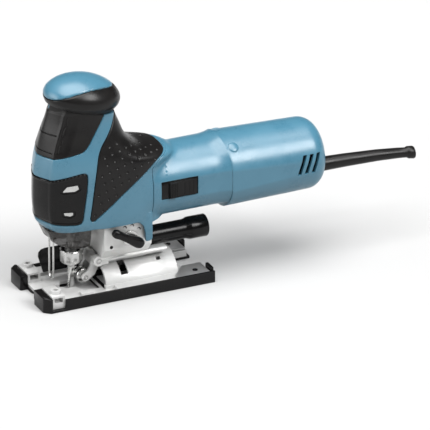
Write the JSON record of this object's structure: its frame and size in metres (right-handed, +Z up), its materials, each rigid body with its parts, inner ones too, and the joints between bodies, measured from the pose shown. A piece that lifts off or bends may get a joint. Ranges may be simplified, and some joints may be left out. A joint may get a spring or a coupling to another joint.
{
  "type": "jigsaw",
  "caption": "Barrel-grip orbital jigsaw with a knob over its blade end, a tilting shoe, a roller behind the blade, a dust nozzle and a tapered cord guard.",
  "frame": {"origin": "under the middle of the tool's box, on the surface that the sole stands on", "axes": "+X towards the blade and front bumpers, +Y to the tool's left, +Z up"},
  "size_m": [0.36, 0.077, 0.1978],
  "materials": {
    "blue_plastic": "satin moulded plastic, teal blue",
    "black_rubber": "matt soft grip",
    "black_plastic": "semi-matt black plastic",
    "cast_aluminium": "die cast, lightly brushed",
    "bright_steel": "machined steel",
    "grey_plate": "dark grey coated steel",
    "smoked_plastic": "clear smoked plastic",
    "copper_winding": "enamelled copper",
    "laminated_iron": "laminated iron",
    "brass": "machined brass",
    "carbon": "matt dark"
  },
  "bodies": {
    "housing": {"base_bolt": "bright_steel", "brush_holder_left": "brass", "brush_holder_right": "brass", "carbon_brush_left": "carbon", "carbon_brush_right": "carbon", "clamp_washer": "bright_steel", "cord_guard": "black_rubber", "dust_nozzle": "black_plastic", "front_bearing": "bright_steel", "front_field_coil": "copper_winding", "front_grip": "black_rubber", "gear_housing": "cast_aluminium", "gear_spindle": "bright_steel", "head_shell_left": "blue_plastic", "head_shell_right": "blue_plastic", "knob_cap": "blue_plastic", "knob_grip": "black_rubber", "lower_bushing": "brass", "motor_housing": "blue_plastic", "palm_grip": "black_rubber", "rear_bearing": "bright_steel", "rear_cover": "blue_plastic", "rear_field_coil": "copper_winding", "retainer_pin": "bright_steel", "speed_controller": "carbon", "stator_core": "laminated_iron", "switch_bezel": "black_plastic", "switch_body": "carbon", "upper_bushing": "brass", "vent_panel": "black_plastic", "wire_guard": "bright_steel"},
    "armature": {"armature_shaft": "bright_steel", "armature_core": "laminated_iron", "front_winding": "copper_winding", "rear_winding": "copper_winding", "commutator": "copper_winding", "cooling_fan": "black_plastic"},
    "gear": {"drive_gear": "bright_steel", "balance_weight": "laminated_iron"},
    "plunger": {"plunger_rod": "bright_steel", "blade_clamp": "grey_plate", "saw_blade": "bright_steel"},
    "clamp_sleeve": {"clamp_sleeve": "bright_steel"},
    "retainer": {"roller_retainer": "cast_aluminium", "roller_pin": "bright_steel"},
    "roller": {"guide_roller": "bright_steel"},
    "orbital_lever": {"lever_hub": "bright_steel", "orbital_lever": "black_plastic"},
    "base": {"sole_plate": "black_plastic", "base_shoe": "cast_aluminium", "wing_plate_left": "grey_plate", "wing_plate_right": "grey_plate"},
    "release_lever": {"release_lever": "black_plastic"},
    "switch_slider": {"switch_slider": "black_plastic"},
    "speed_dial": {"speed_dial": "black_plastic"},
    "dust_cover": {"dust_cover": "smoked_plastic"}
  },
  "joints": [
    {"name": "armature_spin", "type": "hinge", "parent": "housing", "child": "armature", "pos_m": [0.025, 0, 0.088], "axis": [1, 0, 0], "continuous": true},
    {"name": "gear_spin", "type": "hinge", "parent": "housing", "child": "gear", "pos_m": [0.112, 0, 0.115], "axis": [1, 0, 0], "continuous": true},
    {"name": "plunger_slide", "type": "slide", "parent": "housing", "child": "plunger", "axis": [0, 0, -1], "range_m": [-0.0195, 0.0065]},
    {"name": "clamp_sleeve_turn", "type": "hinge", "parent": "plunger", "child": "clamp_sleeve", "pos_m": [0.1393, 0, 0.032], "axis": [0, 0, 1], "range_deg": [0, 60], "stiffness_Nm_per_rad": 0.02},
    {"name": "retainer_swing", "type": "hinge", "parent": "housing", "child": "retainer", "pos_m": [0.1207, 0, 0.029], "axis": [0, 1, 0], "range_deg": [0, 5], "stiffness_Nm_per_rad": 0.05, "springref_deg": -5.73},
    {"name": "roller_spin", "type": "hinge", "parent": "retainer", "child": "roller", "pos_m": [0.1293, 0, 0.0123], "axis": [0, 1, 0], "continuous": true},
    {"name": "orbital_lever_turn", "type": "hinge", "parent": "housing", "child": "orbital_lever", "pos_m": [0.0958, 0.03, 0.0501], "axis": [0, 1, 0], "range_deg": [0, 142]},
    {"name": "base_tilt", "type": "hinge", "parent": "housing", "child": "base", "pos_m": [0.1, 0, 0], "axis": [1, 0, 0], "range_deg": [0, 45]},
    {"name": "release_lever_swing", "type": "hinge", "parent": "housing", "child": "release_lever", "pos_m": [0.124, -0.0205, 0.022], "axis": [0, 0, -1], "range_deg": [0, 85], "stiffness_Nm_per_rad": 0.02},
    {"name": "switch_slide", "type": "slide", "parent": "housing", "child": "switch_slider", "axis": [1, 0, 0], "range_m": [0, 0.006]},
    {"name": "speed_dial_turn", "type": "hinge", "parent": "housing", "child": "speed_dial", "pos_m": [-0.0795, 0, 0.098], "axis": [0, 0, 1], "range_deg": [0, 300]},
    {"name": "dust_cover_slide", "type": "slide", "parent": "housing", "child": "dust_cover", "axis": [0, 0, -1], "range_m": [0, 0.015]}
  ],
  "couplings": [
    {"joint": "gear_spin", "follows": "armature_spin", "ratio": -0.2}
  ]
}
